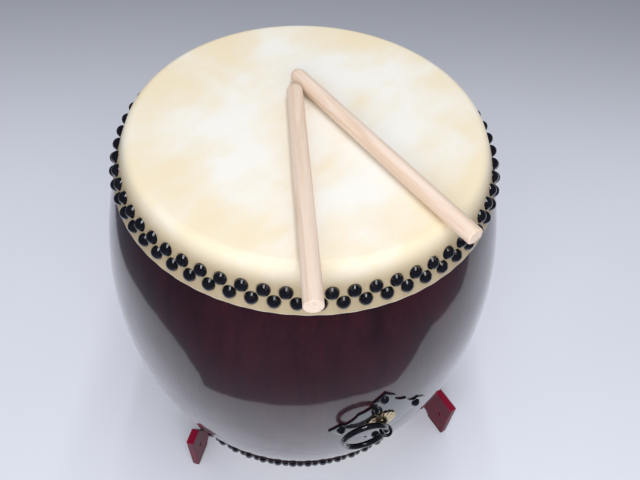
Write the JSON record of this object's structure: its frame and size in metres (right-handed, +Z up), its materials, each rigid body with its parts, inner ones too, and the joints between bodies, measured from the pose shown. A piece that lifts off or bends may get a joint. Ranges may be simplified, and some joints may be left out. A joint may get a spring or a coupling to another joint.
{
  "type": "nagado taiko drum",
  "caption": "Upright barrel drum with tacked rawhide heads and swinging side rings, on a low crossed-board stand, with two sticks on its head.",
  "frame": {"origin": "on the floor, under the middle of the whole object's box", "axes": "+Z up; the two ring fittings lie along Y, the front one towards -Y; +X is to the right seen from the front"},
  "size_m": [0.604, 0.7168, 0.6508],
  "materials": {
    "lacquered_wood": "dark red-brown stained wood under a thick clear gloss coat",
    "rawhide": "cream rawhide, softly mottled, beige where it is drawn down the side",
    "black_iron": "glossy black lacquered iron",
    "gilt": "gilt, polished",
    "plain_oak": "pale bare wood, smooth turned",
    "stand_wood": "crimson stained wood under a clear gloss coat"
  },
  "bodies": {
    "stand": {"stand_board_left": "stand_wood", "stand_board_right": "stand_wood", "stand_stretcher": "stand_wood"},
    "drum": {"body_shell": "lacquered_wood", "top_skin": "rawhide", "bottom_skin": "rawhide", "top_tacks_upper_row": "black_iron", "top_tacks_lower_row": "black_iron", "bottom_tacks_upper_row": "black_iron", "bottom_tacks_lower_row": "black_iron", "front_ring_plate": "black_iron", "front_ring_tacks": "black_iron", "front_ring_washer": "gilt", "front_ring_eye": "black_iron", "rear_ring_plate": "black_iron", "rear_ring_tacks": "black_iron", "rear_ring_washer": "gilt", "rear_ring_eye": "black_iron"},
    "front_ring": {"front_ring": "black_iron"},
    "rear_ring": {"rear_ring": "black_iron"},
    "stick_1": {"stick_1": "plain_oak"},
    "stick_2": {"stick_2": "plain_oak"}
  },
  "joints": [
    {"name": "drum_lift", "type": "slide", "parent": "stand", "child": "drum", "axis": [0, 0, 1], "range_m": [0, 0.15]},
    {"name": "front_ring_swing", "type": "hinge", "parent": "drum", "child": "front_ring", "pos_m": [0, -0.34906, 0.335], "axis": [0, 0, 1], "range_deg": [-6.3, 196.3]},
    {"name": "rear_ring_swing", "type": "hinge", "parent": "drum", "child": "rear_ring", "pos_m": [0, 0.29234, 0.335], "axis": [0, 0, 1], "range_deg": [-6.3, 196.3]},
    {"name": "stick_1_lift", "type": "slide", "parent": "drum", "child": "stick_1", "axis": [0, 0, 1], "range_m": [0, 0.12]},
    {"name": "stick_2_lift", "type": "slide", "parent": "drum", "child": "stick_2", "axis": [0, 0, 1], "range_m": [0, 0.12]}
  ]
}
